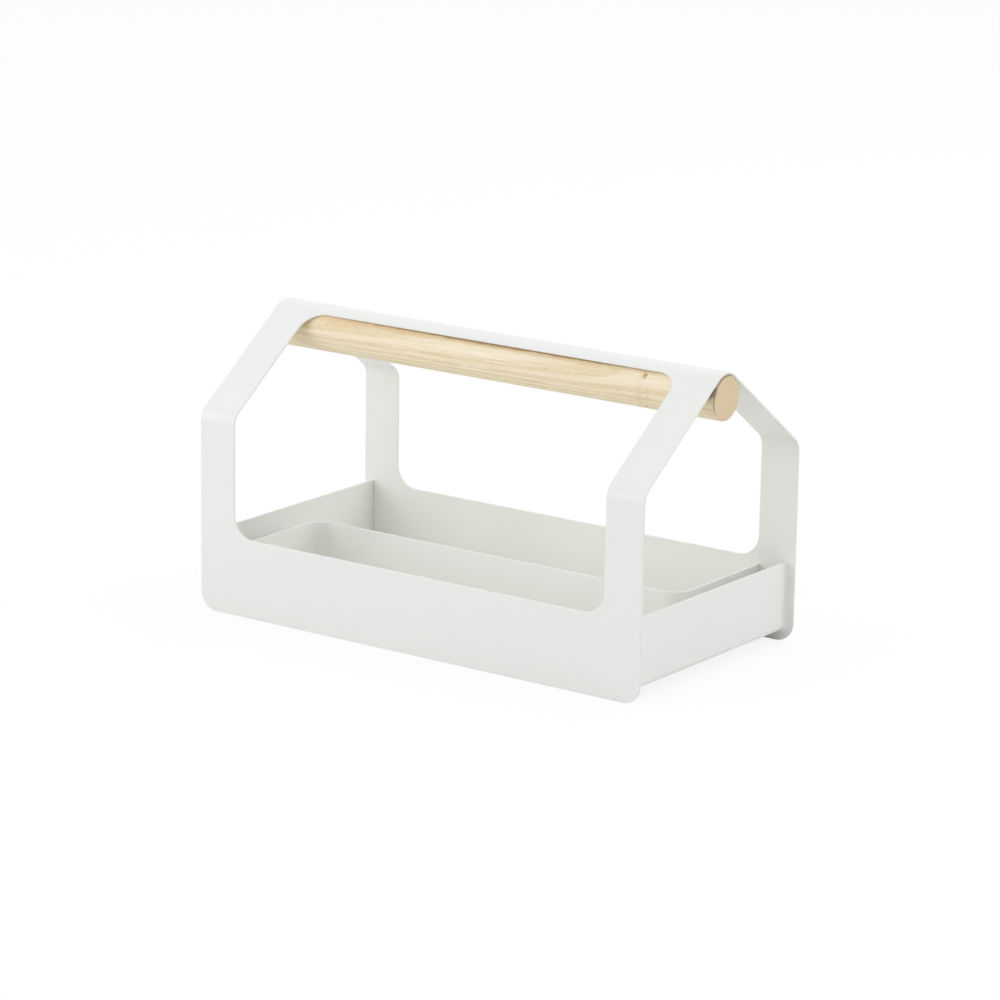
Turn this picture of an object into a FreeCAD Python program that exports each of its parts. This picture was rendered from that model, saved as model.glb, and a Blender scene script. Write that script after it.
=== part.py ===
"""Open tool tote: a folded sheet frame with a tray welded in, a round wooden handle and a divider.

X runs along the handle, -Y is the front and +Z is up. The origin is on the ground, under the middle
of the tote. Lengths are in millimetres and angles in degrees.
"""
import FreeCAD, Part
import os

import Sketcher
from FreeCAD import Placement, Rotation, Vector

SIZES = {
    # The frame: one sheet folded into two upright panels and a pitched roof.
    "frame_length": 380.0,
    "frame_depth": 193.0,
    "shoulder_height": 144.8,    # where the flat of a panel and the flat of the roof would meet
    "roof_pitch": 36.4,          # angle of each roof slope above the horizontal
    "sheet": 1.5,
    "shoulder_bend": 11.5,       # inside radius of the fold between panel and roof
    "panel_corner": 14.0,        # rounding of the panels' lower corners
    # The windows: one opening in each side, from above the tray up over the shoulder to the ridge.
    "window_post": 30.7,         # width of the upright strip left at each end
    "window_sill": 57.5,
    "window_corner": 16.5,
    "ridge_land": 1.1,           # flat left between each window and the ridge fold
    # The tray: one sheet folded into a floor and two end walls, and the weld seam along its edges.
    "tray_inset": 6.8,           # from the frame's end to the wall's outer face
    "tray_underside": 8.0,
    "tray_rim_rise": 0.7,        # how far the end walls rise above the window sill
    "tray_bend": 3.0,            # inside radius between floor and wall
    "seam_gap": 0.4,             # from the tray's edges to the panels, left open on the inside
    "seam_width": 2.2,           # how far the weld spreads from the tray's outer face
    "seam_depth": 0.8,           # how far the weld reaches under the sheet's edge
    "seam_hollow": 1.8,          # radius of the weld's hollow face
    # The handle, and the two countersunk screws that hold it.
    "handle_diameter": 32.0,
    "handle_fit": 0.2,           # gap between the handle and the inside of the ridge fold
    "handle_rounding": 0.8,
    "screw_shank": 3.5,
    "screw_length": 20.0,        # from the head's flat to the tip
    "screw_tip": 4.0,
    "screw_head": 7.0,
    "screw_rim": 0.3,            # height of the short upright rim above the head's cone
    "screw_sink": 0.3,           # depth of the head's flat below the sheet
    "screw_fit": 0.05,           # gap all round the screw in the sheet and in the wood
    "screw_slot": 1.0,
    "screw_slot_length": 4.0,
    "screw_slot_depth": 1.3,
    "pilot_spare": 1.0,          # depth of the hole in the wood past the screw's tip
    # The divider: one sheet bent into a Z that stands loose on the tray's floor.
    "divider_drop": 4.7,         # from the window sill down to the divider's upper edge
    "left_slot": 26.5,           # between the left wall and the leg beside it
    "right_slot": 20.8,
    "front_trough": 88.5,        # between the front panel and the long run
    "divider_bend": 13.0,        # inside radius of its two bends
    "divider_gap": 0.4,          # from each leg's end to the panel beside it
}

RIDGE_RADIUS = "(Size.handle_diameter / 2 + Size.handle_fit + Size.sheet)"
RIDGE_CENTRE = (
    "(Size.shoulder_height + Size.frame_depth / 2 * tan(Size.roof_pitch)"
    f" - {RIDGE_RADIUS} / cos(Size.roof_pitch))"
)
FOLD_EDGE = f"({RIDGE_RADIUS} * sin(Size.roof_pitch))"
FOLD_RISE = f"({RIDGE_RADIUS} * cos(Size.roof_pitch))"
INNER_HALF_DEPTH = "(Size.frame_depth / 2 - Size.sheet)"
WINDOW_HALF_WIDTH = "(Size.frame_length / 2 - Size.window_post)"
WALL_OUTSIDE = "(Size.frame_length / 2 - Size.tray_inset)"
WALL_INSIDE = f"({WALL_OUTSIDE} - Size.sheet)"
FLOOR_TOP = "(Size.tray_underside + Size.sheet)"
SCREW_X = "(Size.frame_length / 2 - Size.window_post / 2)"

VERTICAL_AXIS = -2
HORIZONTAL_AXIS = -1
START, END, CENTRE = 1, 2, 3
TOLERANCE = 1e-6
FULL_TURN = 360
QUARTER_TURN = 90
AROUND_X = Vector(1, 0, 0)
AROUND_MINUS_X = Vector(-1, 0, 0)
AROUND_MINUS_Z = Vector(0, 0, -1)


def make_sheet(doc):
    """Fill the spreadsheet with the driving dimensions, one named cell each."""
    sheet = doc.addObject("Spreadsheet::Sheet", "Size")
    for row, (name, value) in enumerate(SIZES.items(), start=1):
        sheet.set(f"A{row}", name)
        sheet.set(f"B{row}", str(value))
        sheet.setAlias(f"B{row}", name)
    doc.recompute()


def value(item, expression):
    """Work out an expression of sheet cells as a plain number."""
    result = item.Document.getObject("Size").evalExpression(expression)
    return float(getattr(result, "Value", result))


def origin_feature(body, role):
    """Find one of the body's own origin planes or axes by its role."""
    return next(item for item in body.Origin.OriginFeatures if item.Role == role)


def new_body(doc, name):
    """Make a body whose label is also its file name."""
    body = doc.addObject("PartDesign::Body", name)
    body.Label = name
    return body


def new_sketch(body, name, plane, base=None, turn=None):
    """Attach a sketch to an origin plane, moved by three expressions and turned about an axis."""
    sketch = body.newObject("Sketcher::SketchObject", name)
    sketch.AttachmentSupport = (origin_feature(body, plane), "")
    sketch.MapMode = "FlatFace"
    if turn:
        axis, angle = turn
        sketch.AttachmentOffset = Placement(Vector(), Rotation(axis, value(sketch, angle)))
        sketch.setExpression("AttachmentOffset.Rotation.Angle", angle)
    for letter, expression in zip("xyz", base or ()):
        if expression:
            sketch.setExpression(f"AttachmentOffset.Base.{letter}", expression)
    return sketch


def dimension(sketch, kind, where, name, expression):
    """Add a named dimension to a sketch and bind it to an expression of sheet cells."""
    number = value(sketch, expression)
    if kind == "Angle":
        number = FreeCAD.Units.Quantity(number, FreeCAD.Units.Angle).getValueAs("rad").Value
    index = sketch.addConstraint(Sketcher.Constraint(kind, *where, number))
    sketch.renameConstraint(index, name)
    sketch.setExpression(f"Constraints.{name}", expression)


def relate(sketch, kind, *where):
    """Add a geometric relation to a sketch."""
    sketch.addConstraint(Sketcher.Constraint(kind, *where))


def place_point(sketch, where, name, across, along):
    """Fix a point by its two coordinates, where "0" puts it on the axis."""
    coordinates = (("DistanceX", across, VERTICAL_AXIS), ("DistanceY", along, HORIZONTAL_AXIS))
    for kind, expression, axis in coordinates:
        if expression == "0":
            relate(sketch, "PointOnObject", *where, axis)
        else:
            dimension(sketch, kind, where, f"{name}_{kind[-1].lower()}", expression)


def add_line(sketch, start, end):
    """Add a straight line to a sketch."""
    return sketch.addGeometry(Part.LineSegment(start, end), False)


def add_rounded_path(sketch, corners, radii):
    """Add a path of straight lines with its corners rounded, and return its lines and arcs."""
    directions = [(after - before).normalize() for before, after in zip(corners, corners[1:])]
    starts, ends, arcs, forward = [corners[0]], [], [], []
    for corner, arriving, leaving, radius in zip(corners[1:], directions, directions[1:], radii):
        left_turn = arriving.cross(leaving).z > 0
        side = Vector(-arriving.y, arriving.x, 0) * (1 if left_turn else -1)
        cut = radius * (1 - arriving * leaving) / arriving.cross(leaving).Length
        centre = corner - arriving * cut + side * radius
        ends.append(corner - arriving * cut)
        starts.append(corner + leaving * cut)
        first, last = (ends[-1], starts[-1]) if left_turn else (starts[-1], ends[-1])
        circle = Part.Circle(centre, Vector(0, 0, 1), radius)
        arc = Part.ArcOfCircle(circle, circle.parameter(first), circle.parameter(last))
        arcs.append(sketch.addGeometry(arc, False))
        forward.append(left_turn)
    ends.append(corners[-1])
    lines = [add_line(sketch, start, end) for start, end in zip(starts, ends)]
    for index, (arc, is_forward) in enumerate(zip(arcs, forward)):
        enter, leave = (START, END) if is_forward else (END, START)
        relate(sketch, "Tangent", lines[index], END, arc, enter)
        relate(sketch, "Tangent", arc, leave, lines[index + 1], START)
    return lines, arcs


def add_folded_profile(sketch, corners, inner_radii, side, thickness="Size.sheet"):
    """Draw the closed section of a folded sheet.

    The corners are those of one face of the sheet before its folds are rounded, as pairs of
    expressions. The sheet lies on the left of that face (side 1) or on its right (side -1).
    Returns the lines and arcs of that face, so that they can be dimensioned.
    """
    depth = value(sketch, thickness)
    face = [Vector(value(sketch, across), value(sketch, along), 0) for across, along in corners]
    directions = [(after - before).normalize() for before, after in zip(face, face[1:])]
    normals = [Vector(-way.y, way.x, 0) * side for way in directions]
    offsets = [normals[0]]
    for before, after in zip(normals, normals[1:]):
        offsets.append((before + after) / (1 + before * after))
    offsets.append(normals[-1])
    far_face = [point + offset * depth for point, offset in zip(face, offsets)]
    turns = [side * before.cross(after).z > 0 for before, after in zip(directions, directions[1:])]
    outside = [f"({radius} + {thickness})" for radius in inner_radii]
    near_radii = [out if inward else inner for out, inner, inward in zip(outside, inner_radii, turns)]
    far_radii = [inner if inward else out for out, inner, inward in zip(outside, inner_radii, turns)]
    sides = []
    for points, radii, name in ((face, near_radii, "near"), (far_face, far_radii, "far")):
        numbers = [value(sketch, radius) for radius in radii]
        lines, arcs = add_rounded_path(sketch, points, numbers)
        for index, (arc, radius) in enumerate(zip(arcs, radii)):
            dimension(sketch, "Radius", (arc,), f"{name}_bend_{index}", radius)
        sides.append((lines, arcs))
    (near_lines, near_arcs), (far_lines, far_arcs) = sides
    for near_arc, far_arc in zip(near_arcs, far_arcs):
        relate(sketch, "Coincident", near_arc, CENTRE, far_arc, CENTRE)
    for index, point in ((0, START), (-1, END)):
        near, far = near_lines[index], far_lines[index]
        cap = add_line(sketch, face[index], far_face[index])
        relate(sketch, "Coincident", cap, START, near, point)
        relate(sketch, "Coincident", cap, END, far, point)
        relate(sketch, "Perpendicular", cap, near)
        relate(sketch, "Parallel", near, far)
    return near_lines, near_arcs


def place_lines(sketch, lines, corners, names):
    """Lay each line of a square folded profile along X or Y, at the place that its corners give."""
    for line, (before, after), name in zip(lines, zip(corners, corners[1:]), names):
        upright = before[0] == after[0]
        relate(sketch, "Vertical" if upright else "Horizontal", line)
        kind, expression = ("DistanceX", before[0]) if upright else ("DistanceY", before[1])
        dimension(sketch, kind, (line, START), name, expression)


def place_ends(sketch, lines, corners):
    """Set how far the first and the last line of a folded profile reach, both along Y."""
    dimension(sketch, "DistanceY", (lines[0], START), "first_end", corners[0][1])
    dimension(sketch, "DistanceY", (lines[-1], END), "last_end", corners[-1][1])


def pad(body, sketch, name, length, symmetric=False):
    """Extrude a sketch along its normal, or to both sides of its plane."""
    feature = body.newObject("PartDesign::Pad", name)
    feature.Profile = sketch
    feature.setExpression("Length", length)
    feature.SideType = "Symmetric" if symmetric else "One side"
    body.Document.recompute()
    return feature


def pocket(body, sketch, name, depth):
    """Cut a sketch into the body, against the sketch's normal, and make sure that it cuts."""
    before = body.Shape.Volume
    feature = body.newObject("PartDesign::Pocket", name)
    feature.Profile = sketch
    feature.setExpression("Length", depth)
    body.Document.recompute()
    if not feature.Shape.Volume < before:
        raise RuntimeError(f"{name} removes nothing from {body.Label}")
    return feature


def mirror(body, originals, name, plane):
    """Repeat features on the other side of one of the body's origin planes."""
    feature = body.newObject("PartDesign::Mirrored", name)
    feature.Originals = originals
    feature.MirrorPlane = (origin_feature(body, plane), [""])
    body.Tip = feature
    body.Document.recompute()
    return feature


def fillet(body, base, name, radius, wanted):
    """Round the edges of a feature for which wanted(edge) is true."""
    edges = enumerate(base.Shape.Edges, start=1)
    names = [f"Edge{number}" for number, edge in edges if wanted(edge)]
    feature = body.newObject("PartDesign::Fillet", name)
    feature.Base = (base, names)
    feature.setExpression("Radius", radius)
    body.Document.recompute()
    return feature


def add_window_profile(sketch, near, far):
    """Draw one flat of a window: square at the height near, with rounded corners at the height far."""
    radius = value(sketch, "Size.window_corner")
    half_width = value(sketch, WINDOW_HALF_WIDTH)
    low, high = value(sketch, near), value(sketch, far)
    outline = [(-half_width, low), (-half_width, high), (half_width, high), (half_width, low)]
    corners = [Vector(across, along, 0) for across, along in outline]
    (left, end, right), (first, second) = add_rounded_path(sketch, corners, [radius, radius])
    base = add_line(sketch, corners[-1], corners[0])
    relate(sketch, "Coincident", right, END, base, START)
    relate(sketch, "Coincident", base, END, left, START)
    relate(sketch, "Vertical", left)
    relate(sketch, "Vertical", right)
    relate(sketch, "Horizontal", end)
    relate(sketch, "Equal", first, second)
    dimension(sketch, "Radius", (first,), "corner", "Size.window_corner")
    dimension(sketch, "DistanceX", (left, START), "left_side", f"-{WINDOW_HALF_WIDTH}")
    dimension(sketch, "DistanceX", (right, END), "right_side", WINDOW_HALF_WIDTH)
    dimension(sketch, "DistanceY", (end, START), "far_side", far)
    if near == "0":
        relate(sketch, "PointOnObject", left, START, HORIZONTAL_AXIS)
        relate(sketch, "PointOnObject", right, END, HORIZONTAL_AXIS)
    else:
        relate(sketch, "Horizontal", base)
        dimension(sketch, "DistanceY", (left, START), "near_side", near)


def add_circles(sketch, diameter, places):
    """Draw one circle at each distance along the sketch's horizontal axis."""
    for number, across in enumerate(places):
        centre = Vector(value(sketch, across), 0, 0)
        circle = Part.Circle(centre, Vector(0, 0, 1), value(sketch, diameter) / 2)
        index = sketch.addGeometry(circle, False)
        dimension(sketch, "Diameter", (index,), f"diameter_{number}", diameter)
        place_point(sketch, (index, CENTRE), f"centre_{number}", across, "0")


def add_polygon(sketch, points):
    """Draw a closed polygon whose corners are pairs of expressions."""
    corners = [Vector(value(sketch, across), value(sketch, along), 0) for across, along in points]
    lines = [add_line(sketch, start, end) for start, end in zip(corners, corners[1:] + corners[:1])]
    for before, after in zip(lines, lines[1:] + lines[:1]):
        relate(sketch, "Coincident", before, END, after, START)
    for number, (line, (across, along)) in enumerate(zip(lines, points)):
        place_point(sketch, (line, START), f"corner_{number}", across, along)


def add_screw_outline(sketch, margin, top, bottom):
    """Draw half of a countersunk screw's section beside the upright axis, grown by a margin.

    The outline starts at the height top, above or at the head's flat, and ends at the height bottom.
    A hole takes the screw's own outline with a margin, so that the two keep to the same seat.
    """
    head = f"(Size.screw_head / 2 + {margin})"
    shank = f"(Size.screw_shank / 2 + {margin})"
    cone_top = "-(Size.screw_sink + Size.screw_rim)"
    cone_foot = f"({cone_top} - (Size.screw_head - Size.screw_shank) / 2)"
    shoulder = f"({bottom} + Size.screw_tip)"
    add_polygon(sketch, [
        ("0", top),
        (head, top),
        (head, cone_top),
        (shank, cone_foot),
        (shank, shoulder),
        ("0", bottom),
    ])


def cut_screw_holes(body, name, ridge_height):
    """Cut both screw holes, square to the back slope where it meets the ridge fold."""
    before = body.Shape.Volume
    base = (FOLD_EDGE, f"({ridge_height} + {FOLD_RISE})", SCREW_X)
    sketch = new_sketch(body, f"{name}_sketch", "YZ_Plane", base, (AROUND_MINUS_Z, "Size.roof_pitch"))
    depth = "-(Size.screw_sink + Size.screw_length + Size.pilot_spare)"
    add_screw_outline(sketch, "Size.screw_fit", "Size.sheet", depth)
    groove = body.newObject("PartDesign::Groove", f"{name}_right")
    groove.Profile = sketch
    groove.ReferenceAxis = (sketch, ["V_Axis"])
    groove.Angle = FULL_TURN
    body.Document.recompute()
    both = mirror(body, [groove], name, "YZ_Plane")
    if not both.Shape.Volume < groove.Shape.Volume < before:
        raise RuntimeError(f"{name} removes nothing from {body.Label}")


def add_frame_section(body):
    """Draw the folded section of the frame: panel, roof slope, roof slope, panel."""
    half_depth = "Size.frame_depth / 2"
    apex = f"({RIDGE_CENTRE} + {RIDGE_RADIUS} / cos(Size.roof_pitch))"
    corners = [
        (f"-{half_depth}", "0"),
        (f"-{half_depth}", "Size.shoulder_height"),
        ("0", apex),
        (half_depth, "Size.shoulder_height"),
        (half_depth, "0"),
    ]
    bends = ["Size.shoulder_bend", f"({RIDGE_RADIUS} - Size.sheet)", "Size.shoulder_bend"]
    sketch = new_sketch(body, "section", "YZ_Plane")
    lines, arcs = add_folded_profile(sketch, corners, bends, -1)
    front_panel, front_slope, back_slope, back_panel = lines
    shoulder_centre = (
        "Size.shoulder_height - (Size.shoulder_bend + Size.sheet) * tan(45 - Size.roof_pitch / 2)"
    )
    for name, panel, arc, place in (
        ("front", front_panel, arcs[0], f"-{half_depth}"),
        ("back", back_panel, arcs[-1], half_depth),
    ):
        relate(sketch, "Vertical", panel)
        dimension(sketch, "DistanceX", (panel, START), f"{name}_panel", place)
        dimension(sketch, "DistanceY", (arc, CENTRE), f"{name}_shoulder", shoulder_centre)
    dimension(sketch, "Angle", (front_slope,), "front_pitch", "Size.roof_pitch")
    dimension(sketch, "Angle", (back_slope,), "back_pitch", "-Size.roof_pitch")
    relate(sketch, "PointOnObject", front_panel, START, HORIZONTAL_AXIS)
    relate(sketch, "PointOnObject", back_panel, END, HORIZONTAL_AXIS)
    return sketch


def make_frame(doc):
    """The folded sheet: section along X, a window in each side, rounded lower corners, screw holes."""
    body = new_body(doc, "frame_band")
    pad(body, add_frame_section(body), "folded_sheet", "Size.frame_length", symmetric=True)
    cut_depth = "(Size.shoulder_bend + Size.sheet)"
    panel = new_sketch(body, "panel_window_sketch", "XZ_Plane", ("", "", "Size.frame_depth / 2"))
    add_window_profile(panel, "Size.shoulder_height", "Size.window_sill")
    panel_window = pocket(body, panel, "panel_window", cut_depth)
    base = ("", "-Size.frame_depth / 2", "Size.shoulder_height")
    slope = new_sketch(body, "roof_window_sketch", "XY_Plane", base, (AROUND_X, "Size.roof_pitch"))
    slope_reach = (
        f"((Size.frame_depth / 2 - {FOLD_EDGE}) / cos(Size.roof_pitch) - Size.ridge_land)"
    )
    add_window_profile(slope, "0", slope_reach)
    roof_window = pocket(body, slope, "roof_window", cut_depth)
    back = mirror(body, [panel_window, roof_window], "back_windows", "XZ_Plane")
    half_length = value(body, "Size.frame_length / 2")

    def lower_corner(edge):
        """True of the four short edges at the ends of the panels' lower edges."""
        centre = edge.CenterOfMass
        across = abs(abs(edge.tangentAt(edge.FirstParameter).y) - 1) < TOLERANCE
        return across and abs(centre.z) < TOLERANCE and abs(abs(centre.x) - half_length) < TOLERANCE

    fillet(body, back, "panel_corners", "Size.panel_corner", lower_corner)
    cut_screw_holes(body, "sheet_holes", RIDGE_CENTRE)
    return body


def add_channel_section(sketch, spread, bend, thickness):
    """Draw a U along the tray's floor and walls, its outer face spread out from the tray's own."""
    outside = f"({WALL_OUTSIDE} + {spread})"
    underside = f"(Size.tray_underside - {spread})"
    rim = "(Size.window_sill + Size.tray_rim_rise)"
    corners = [(f"-{outside}", rim), (f"-{outside}", underside), (outside, underside), (outside, rim)]
    lines, _ = add_folded_profile(sketch, corners, [bend] * 2, 1, thickness)
    place_lines(sketch, lines, corners, ("left_wall", "floor", "right_wall"))
    place_ends(sketch, lines, corners)


def make_tray(doc):
    """The tray: floor and end walls, held to both panels by a hollow weld along its outside."""
    body = new_body(doc, "tray")
    half_width = f"({INNER_HALF_DEPTH} - Size.seam_gap)"
    sketch = new_sketch(body, "floor_and_walls", "XZ_Plane")
    add_channel_section(sketch, "0", "Size.tray_bend", "Size.sheet")
    pad(body, sketch, "channel", f"2 * {half_width}", symmetric=True)
    sketch = new_sketch(body, "seam_section", "XZ_Plane", ("", "", half_width))
    inner_bend = "(Size.tray_bend + Size.sheet - Size.seam_depth)"
    add_channel_section(sketch, "Size.seam_width", inner_bend, "(Size.seam_depth + Size.seam_width)")
    front_seam = pad(body, sketch, "front_seam", "Size.seam_gap")
    seams = mirror(body, [front_seam], "back_seam", "XZ_Plane")
    edge_y = value(body, half_width)
    wall_x, floor_z = value(body, WALL_OUTSIDE), value(body, "Size.tray_underside")
    bend = value(body, "Size.tray_bend + Size.sheet")

    def seam_root(edge):
        """True of the edges where the tray's outer face runs into a seam."""
        centre = edge.CenterOfMass
        at_edge = abs(abs(centre.y) - edge_y) < TOLERANCE
        along = abs(edge.tangentAt(edge.FirstParameter).y) < TOLERANCE
        on_wall = abs(abs(centre.x) - wall_x) < TOLERANCE
        on_floor = abs(centre.z - floor_z) < TOLERANCE
        on_bend = abs(getattr(edge.Curve, "Radius", 0) - bend) < TOLERANCE
        return at_edge and along and (on_wall or on_floor or on_bend)

    fillet(body, seams, "hollow_welds", "Size.seam_hollow", seam_root)
    return body


def make_handle(doc):
    """The round wooden handle, with a hole in each end strip's place for its screw."""
    body = new_body(doc, "handle_dowel")
    sketch = new_sketch(body, "round", "YZ_Plane")
    add_circles(sketch, "Size.handle_diameter", ("0",))
    rod = pad(body, sketch, "rod", "Size.frame_length", symmetric=True)

    def end_edge(edge):
        """True of the circles around the rod's two end faces."""
        return edge.isClosed() and hasattr(edge.Curve, "Radius")

    fillet(body, rod, "end_rounding", "Size.handle_rounding", end_edge)
    cut_screw_holes(body, "pilot_holes", "0")
    body.setExpression("Placement.Base.z", RIDGE_CENTRE)
    return body


def make_screw(doc, name, across):
    """A countersunk wood screw with a cross recess, square to the back slope."""
    body = new_body(doc, name)
    flat = "-Size.screw_sink"
    sketch = new_sketch(body, "half_section", "XZ_Plane")
    add_screw_outline(sketch, "0", flat, "-(Size.screw_sink + Size.screw_length)")
    turned = body.newObject("PartDesign::Revolution", "turned")
    turned.Profile = sketch
    turned.ReferenceAxis = (sketch, ["V_Axis"])
    turned.Angle = FULL_TURN
    doc.recompute()
    half_length, half_width = "Size.screw_slot_length / 2", "Size.screw_slot / 2"
    sketch = new_sketch(body, "slot_sketch", "XY_Plane", ("", "", flat))
    add_polygon(sketch, [
        (f"-{half_length}", f"-{half_width}"),
        (half_length, f"-{half_width}"),
        (half_length, half_width),
        (f"-{half_length}", half_width),
    ])
    slot = pocket(body, sketch, "slot", "Size.screw_slot_depth")
    cross = body.newObject("PartDesign::PolarPattern", "cross_recess")
    cross.Originals = [slot]
    cross.Axis = (origin_feature(body, "Z_Axis"), [""])
    cross.Angle = QUARTER_TURN
    cross.Occurrences = 2
    body.Tip = cross
    body.Placement = Placement(Vector(), Rotation(AROUND_MINUS_X, value(body, "Size.roof_pitch")))
    body.setExpression("Placement.Rotation.Angle", "Size.roof_pitch")
    body.setExpression("Placement.Base.x", across)
    body.setExpression("Placement.Base.y", FOLD_EDGE)
    body.setExpression("Placement.Base.z", f"{RIDGE_CENTRE} + {FOLD_RISE}")
    return body


def make_divider(doc):
    """The loose divider: a leg to the front panel, a long run and a leg to the back panel."""
    body = new_body(doc, "divider")
    left = f"(Size.left_slot - {WALL_INSIDE})"
    right = f"({WALL_INSIDE} - Size.right_slot - Size.sheet)"
    run = f"(Size.front_trough + Size.sheet - {INNER_HALF_DEPTH})"
    reach = f"({INNER_HALF_DEPTH} - Size.divider_gap)"
    corners = [(left, f"-{reach}"), (left, run), (right, run), (right, reach)]
    sketch = new_sketch(body, "z_section", "XY_Plane")
    lines, _ = add_folded_profile(sketch, corners, ["Size.divider_bend"] * 2, -1)
    place_lines(sketch, lines, corners, ("front_leg", "run", "back_leg"))
    place_ends(sketch, lines, corners)
    pad(body, sketch, "bent_strip", f"Size.window_sill - Size.divider_drop - {FLOOR_TOP}")
    body.setExpression("Placement.Base.z", FLOOR_TOP)
    return body


def check(doc, bodies):
    """Stop if anything in the document failed or a sub-part is not one sound solid."""
    for item in doc.Objects:
        if {"Invalid", "Error"} & set(item.State):
            raise RuntimeError(f"{item.Label} failed: {item.State}")
    for sketch in doc.findObjects("Sketcher::SketchObject"):
        if not sketch.FullyConstrained:
            raise RuntimeError(f"{sketch.Label} is not fully constrained")
    for body in bodies:
        shape = body.Shape
        if shape.isNull() or not shape.isValid() or len(shape.Solids) != 1:
            raise RuntimeError(f"{body.Label} is not one valid solid")


def main():
    """Build every sub-part, check it and write it to its STEP file."""
    doc = FreeCAD.newDocument("tool_tote")
    make_sheet(doc)
    bodies = [
        make_frame(doc),
        make_tray(doc),
        make_handle(doc),
        make_screw(doc, "handle_screw_left", f"-{SCREW_X}"),
        make_screw(doc, "handle_screw_right", SCREW_X),
        make_divider(doc),
    ]
    doc.recompute()
    check(doc, bodies)
    os.makedirs("parts", exist_ok=True)
    for body in bodies:
        body.Shape.exportStep(f"parts/{body.Label}.step")
        box = body.Shape.BoundBox
        print(f"{body.Label}: {body.Shape.Volume:.1f} mm3, x {box.XMin:.2f}..{box.XMax:.2f}, "
              f"y {box.YMin:.2f}..{box.YMax:.2f}, z {box.ZMin:.2f}..{box.ZMax:.2f}")


main()
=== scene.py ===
"""Looks of an open tool tote: a folded, powder-coated frame, tray and divider, and an ash handle.

X runs along the handle, -Y is the front and +Z is up. The origin is on the ground, under the middle
of the tote. Lengths are in metres, and the fields that hold small ones are written as counts of MM.
"""
import logging
import math
from collections.abc import Callable, Iterator
from contextlib import contextmanager
from dataclasses import dataclass, field
from enum import Enum

import bmesh
import bpy
from mathutils import Matrix, Vector


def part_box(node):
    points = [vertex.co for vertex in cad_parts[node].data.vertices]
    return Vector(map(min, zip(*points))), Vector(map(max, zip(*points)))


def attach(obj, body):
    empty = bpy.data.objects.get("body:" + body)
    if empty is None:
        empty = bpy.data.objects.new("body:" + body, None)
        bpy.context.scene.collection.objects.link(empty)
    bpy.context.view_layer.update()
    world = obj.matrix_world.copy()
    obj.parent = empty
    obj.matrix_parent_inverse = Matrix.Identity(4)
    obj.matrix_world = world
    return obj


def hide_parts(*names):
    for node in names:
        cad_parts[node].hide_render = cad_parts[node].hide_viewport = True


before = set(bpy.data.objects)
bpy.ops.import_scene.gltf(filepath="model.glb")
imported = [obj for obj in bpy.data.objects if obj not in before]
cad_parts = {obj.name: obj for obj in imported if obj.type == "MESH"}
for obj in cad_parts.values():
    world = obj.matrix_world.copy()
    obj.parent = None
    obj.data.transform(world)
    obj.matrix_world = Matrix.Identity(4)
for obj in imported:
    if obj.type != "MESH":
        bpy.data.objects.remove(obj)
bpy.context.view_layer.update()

LOG = logging.getLogger("tool_tote")
MM = 0.001
PER_MM = 1000.0
AXIS_X = Vector((1.0, 0.0, 0.0))
AXIS_Y = Vector((0.0, 1.0, 0.0))
AXIS_Z = Vector((0.0, 0.0, 1.0))
TOUCH = 1e-5
WEIGHT_BY_AREA = 50
NOISE_MIDDLE = 0.5
BYTE_MAX = 255
SRGB_CURVE = (0.04045, 12.92, 0.055, 2.4)  # its knee, slope, offset and gamma
SHARP = math.radians(35.0)  # an edge that turns by more is rounded, and shaded as an edge
FACING = 0.99
QUARTER = math.pi / 2
ROOF_PITCH = math.radians(36.4)
SHEET = 1.5 * MM

Piece = bpy.types.Object
Material = bpy.types.Material
Tree = bpy.types.NodeTree
Edge = bmesh.types.BMEdge
Face = bmesh.types.BMFace
Pair = tuple[float, float]
Triple = tuple[float, float, float]
Feed = bpy.types.Node | bpy.types.NodeSocket  # a node stands for its first output in use


class Element(Enum):
    """What a selection is made of."""

    VERTEX = "VERT"
    EDGE = "EDGE"
    FACE = "FACE"


class Side(Enum):
    """The front or the back of the tote, as the sign of Y."""

    FRONT = -1
    BACK = 1


class End(Enum):
    """The left or the right end of the tote, as the sign of X."""

    LEFT = -1
    RIGHT = 1


class Slot(Enum):
    """The material slots of the record."""

    COAT = "powder_coat"
    WOOD = "oiled_ash"
    METAL = "zinc_steel"


# ---- modelling


def start_piece(name: str, primitive: Callable, **settings) -> Piece:
    """Add a primitive as the start of a piece, alone in the selection.

    Args:
        name: name of the piece and of its mesh.
        primitive: one of Blender's operators that add a mesh.
        settings: the operator's own settings, its size and place among them.

    Returns:
        The new object.
    """
    bpy.ops.object.select_all(action="DESELECT")
    primitive(**settings)
    piece = bpy.context.active_object
    piece.name = name
    piece.data.name = name
    return piece


def make_active(piece: Piece) -> None:
    """Make a piece the only selected object."""
    bpy.ops.object.select_all(action="DESELECT")
    piece.select_set(True)
    bpy.context.view_layer.objects.active = piece


def settle(piece: Piece, scale: Vector | None = None) -> None:
    """Size a piece, and move its place, turn and size into its mesh."""
    make_active(piece)
    if scale:
        piece.scale = scale
    bpy.ops.object.transform_apply(location=True, rotation=True, scale=True)


@contextmanager
def editing(piece: Piece) -> Iterator[None]:
    """Open a piece in edit mode, and close it afterwards."""
    make_active(piece)
    bpy.ops.object.mode_set(mode="EDIT")
    yield
    bpy.ops.object.mode_set(mode="OBJECT")


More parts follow.
